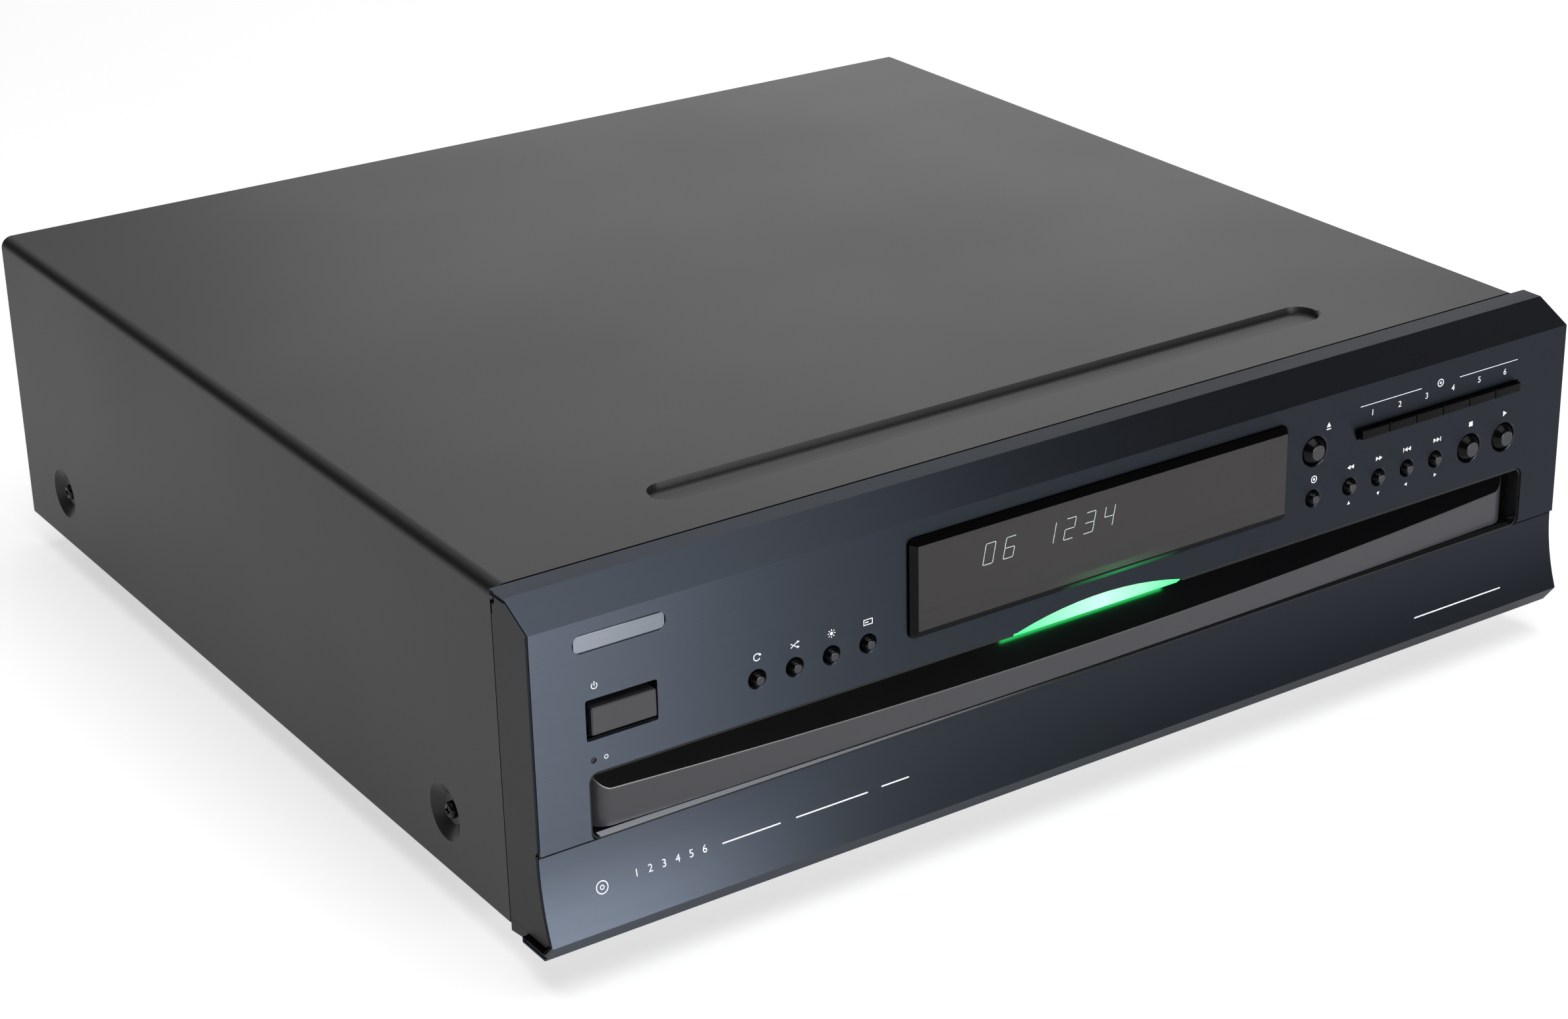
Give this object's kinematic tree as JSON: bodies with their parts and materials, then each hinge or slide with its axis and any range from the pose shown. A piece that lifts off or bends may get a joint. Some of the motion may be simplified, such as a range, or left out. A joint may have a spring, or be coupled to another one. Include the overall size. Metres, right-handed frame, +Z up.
{
  "type": "carousel disc changer",
  "caption": "Wide flat disc changer with a bowed front, sliding tray with a turning disc table, raised pickup, keys, display window, back sockets and round feet.",
  "frame": {"origin": "on the surface the feet stand on, under the middle of the overall size", "axes": "+X to the right as seen from the front, +Y to the back, +Z up"},
  "size_m": [0.435, 0.433, 0.131],
  "materials": {
    "cover_steel": "satin powder coat",
    "chassis_steel": "zinc-plated sheet",
    "rear_steel": "satin black paint",
    "face_aluminium": "brushed and anodised blue-grey",
    "cheek_plastic": "moulded, fine texture",
    "frame_plastic": "moulded, satin",
    "door_plastic": "painted satin grey",
    "button_plastic": "satin metallic grey",
    "window_acrylic": "smoked, polished",
    "lens_acrylic": "green lit, polished",
    "led_resin": "moulded resin",
    "tube_glass": "polished",
    "circuit_board": "solder mask",
    "switch_plastic": "moulded",
    "rail_plastic": "moulded",
    "tray_plastic": "moulded, fine texture",
    "gear_plastic": "moulded acetal",
    "motor_steel": "drawn and plated",
    "belt_rubber": "smooth",
    "bridge_steel": "zinc-plated sheet",
    "transformer_steel": "varnished laminations",
    "jack_plastic": "moulded",
    "jack_metal": "nickel-plated",
    "foot_plastic": "moulded",
    "screw_steel": "black oxide, glossy",
    "rod_steel": "ground and polished",
    "pickup_metal": "die cast"
  },
  "bodies": {
    "case": {"top_cover": "cover_steel", "chassis_base": "chassis_steel", "rear_panel": "rear_steel", "front_plate": "face_aluminium", "cheek_left": "cheek_plastic", "cheek_right": "cheek_plastic", "front_frame": "frame_plastic", "display_window": "window_acrylic", "light_lens": "lens_acrylic", "indicator_leds": "led_resin", "display_tube": "tube_glass", "front_board": "circuit_board", "key_switches": "switch_plastic", "tray_rails": "rail_plastic", "mech_base": "rail_plastic", "tray_motor": "motor_steel", "drive_belt": "belt_rubber", "clamp_bridge": "bridge_steel", "transformer": "transformer_steel", "main_board": "circuit_board", "rca_jacks": "jack_metal", "small_jacks": "jack_plastic", "strain_relief": "jack_plastic", "feet": "foot_plastic", "screws": "screw_steel"},
    "tray": {"tray": "tray_plastic", "tray_door": "door_plastic", "carousel_cap": "tray_plastic", "carousel_motor": "motor_steel"},
    "carousel": {"carousel": "tray_plastic"},
    "carousel_gear": {"carousel_gear": "gear_plastic"},
    "tray_gear": {"tray_gear": "gear_plastic"},
    "motor_pulley": {"motor_pulley": "gear_plastic"},
    "cam": {"lift_cam": "gear_plastic"},
    "lift": {"lift_frame": "rail_plastic", "guide_rods": "rod_steel", "spindle_motor": "motor_steel"},
    "pickup": {"laser_pickup": "pickup_metal"},
    "sled_gear": {"sled_gear": "gear_plastic"},
    "platter": {"disc_platter": "tray_plastic"},
    "clamper": {"clamper": "tray_plastic"},
    "power_button": {"power_button": "button_plastic"},
    "repeat_button": {"repeat_button": "button_plastic"},
    "random_button": {"random_button": "button_plastic"},
    "dimmer_button": {"dimmer_button": "button_plastic"},
    "display_button": {"display_button": "button_plastic"},
    "eject_button": {"eject_button": "button_plastic"},
    "skip_button": {"skip_button": "button_plastic"},
    "rewind_button": {"rewind_button": "button_plastic"},
    "forward_button": {"forward_button": "button_plastic"},
    "previous_button": {"previous_button": "button_plastic"},
    "next_button": {"next_button": "button_plastic"},
    "stop_button": {"stop_button": "button_plastic"},
    "play_button": {"play_button": "button_plastic"},
    "disc_key_1": {"disc_key_1": "button_plastic"},
    "disc_key_2": {"disc_key_2": "button_plastic"},
    "disc_key_3": {"disc_key_3": "button_plastic"},
    "disc_key_4": {"disc_key_4": "button_plastic"},
    "disc_key_5": {"disc_key_5": "button_plastic"},
    "disc_key_6": {"disc_key_6": "button_plastic"}
  },
  "joints": [
    {"name": "tray_slide", "type": "slide", "parent": "case", "child": "tray", "axis": [0, -1, 0], "range_m": [0, 0.22]},
    {"name": "carousel_spin", "type": "hinge", "parent": "tray", "child": "carousel", "pos_m": [0, -0.0101, 0.065], "axis": [0, 0, 1], "continuous": true},
    {"name": "carousel_gear_spin", "type": "hinge", "parent": "tray", "child": "carousel_gear", "pos_m": [0.04773, 0.03763, 0.058], "axis": [0, 0, 1], "continuous": true},
    {"name": "tray_gear_spin", "type": "hinge", "parent": "case", "child": "tray_gear", "pos_m": [-0.15, -0.1561, 0.05], "axis": [0, 0, 1], "range_deg": [0, 352]},
    {"name": "motor_pulley_spin", "type": "hinge", "parent": "case", "child": "motor_pulley", "pos_m": [-0.088, -0.1561, 0.048], "axis": [0, 0, 1], "continuous": true},
    {"name": "cam_slide", "type": "slide", "parent": "case", "child": "cam", "axis": [0, 1, 0], "range_m": [0, 0.024]},
    {"name": "lift_rise", "type": "slide", "parent": "case", "child": "lift", "axis": [0, 0, 1], "range_m": [0, 0.0111]},
    {"name": "sled_slide", "type": "slide", "parent": "lift", "child": "pickup", "axis": [0, 1, 0], "range_m": [0, 0.035]},
    {"name": "sled_gear_spin", "type": "hinge", "parent": "lift", "child": "sled_gear", "pos_m": [0.0258, 0.1499, 0.0405], "axis": [0, 0, 1], "range_deg": [-252, 0]},
    {"name": "platter_spin", "type": "hinge", "parent": "lift", "child": "platter", "pos_m": [0, 0.1129, 0.05], "axis": [0, 0, 1], "continuous": true},
    {"name": "clamper_spin", "type": "hinge", "parent": "case", "child": "clamper", "pos_m": [0, 0.1129, 0.0735], "axis": [0, 0, 1], "continuous": true},
    {"name": "power_button_press", "type": "slide", "parent": "case", "child": "power_button", "axis": [0, 1, 0], "range_m": [0, 0.0012], "stiffness_N_per_m": 400, "springref_m": -0.0005},
    {"name": "repeat_button_press", "type": "slide", "parent": "case", "child": "repeat_button", "axis": [0, 1, 0], "range_m": [0, 0.0008], "stiffness_N_per_m": 400, "springref_m": -0.0005},
    {"name": "random_button_press", "type": "slide", "parent": "case", "child": "random_button", "axis": [0, 1, 0], "range_m": [0, 0.0008], "stiffness_N_per_m": 400, "springref_m": -0.0005},
    {"name": "dimmer_button_press", "type": "slide", "parent": "case", "child": "dimmer_button", "axis": [0, 1, 0], "range_m": [0, 0.0008], "stiffness_N_per_m": 400, "springref_m": -0.0005},
    {"name": "display_button_press", "type": "slide", "parent": "case", "child": "display_button", "axis": [0, 1, 0], "range_m": [0, 0.0008], "stiffness_N_per_m": 400, "springref_m": -0.0005},
    {"name": "eject_button_press", "type": "slide", "parent": "case", "child": "eject_button", "axis": [0, 1, 0], "range_m": [0, 0.0008], "stiffness_N_per_m": 400, "springref_m": -0.0005},
    {"name": "skip_button_press", "type": "slide", "parent": "case", "child": "skip_button", "axis": [0, 1, 0], "range_m": [0, 0.0008], "stiffness_N_per_m": 400, "springref_m": -0.0005},
    {"name": "rewind_button_press", "type": "slide", "parent": "case", "child": "rewind_button", "axis": [0, 1, 0], "range_m": [0, 0.0008], "stiffness_N_per_m": 400, "springref_m": -0.0005},
    {"name": "forward_button_press", "type": "slide", "parent": "case", "child": "forward_button", "axis": [0, 1, 0], "range_m": [0, 0.0008], "stiffness_N_per_m": 400, "springref_m": -0.0005},
    {"name": "previous_button_press", "type": "slide", "parent": "case", "child": "previous_button", "axis": [0, 1, 0], "range_m": [0, 0.0008], "stiffness_N_per_m": 400, "springref_m": -0.0005},
    {"name": "next_button_press", "type": "slide", "parent": "case", "child": "next_button", "axis": [0, 1, 0], "range_m": [0, 0.0008], "stiffness_N_per_m": 400, "springref_m": -0.0005},
    {"name": "stop_button_press", "type": "slide", "parent": "case", "child": "stop_button", "axis": [0, 1, 0], "range_m": [0, 0.0008], "stiffness_N_per_m": 400, "springref_m": -0.0005},
    {"name": "play_button_press", "type": "slide", "parent": "case", "child": "play_button", "axis": [0, 1, 0], "range_m": [0, 0.0008], "stiffness_N_per_m": 400, "springref_m": -0.0005},
    {"name": "disc_key_1_press", "type": "slide", "parent": "case", "child": "disc_key_1", "axis": [0, 1, 0], "range_m": [0, 0.0008], "stiffness_N_per_m": 400, "springref_m": -0.0005},
    {"name": "disc_key_2_press", "type": "slide", "parent": "case", "child": "disc_key_2", "axis": [0, 1, 0], "range_m": [0, 0.0008], "stiffness_N_per_m": 400, "springref_m": -0.0005},
    {"name": "disc_key_3_press", "type": "slide", "parent": "case", "child": "disc_key_3", "axis": [0, 1, 0], "range_m": [0, 0.0008], "stiffness_N_per_m": 400, "springref_m": -0.0005},
    {"name": "disc_key_4_press", "type": "slide", "parent": "case", "child": "disc_key_4", "axis": [0, 1, 0], "range_m": [0, 0.0008], "stiffness_N_per_m": 400, "springref_m": -0.0005},
    {"name": "disc_key_5_press", "type": "slide", "parent": "case", "child": "disc_key_5", "axis": [0, 1, 0], "range_m": [0, 0.0008], "stiffness_N_per_m": 400, "springref_m": -0.0005},
    {"name": "disc_key_6_press", "type": "slide", "parent": "case", "child": "disc_key_6", "axis": [0, 1, 0], "range_m": [0, 0.0008], "stiffness_N_per_m": 400, "springref_m": -0.0005}
  ],
  "couplings": [
    {"joint": "carousel_gear_spin", "follows": "carousel_spin", "ratio": -4},
    {"joint": "tray_gear_spin", "follows": "tray_slide", "rad_per_m": 27.778},
    {"joint": "motor_pulley_spin", "follows": "tray_slide", "rad_per_m": 126.02},
    {"joint": "lift_rise", "follows": "cam_slide", "ratio": 0.4625},
    {"joint": "sled_gear_spin", "follows": "sled_slide", "rad_per_m": -125}
  ]
}
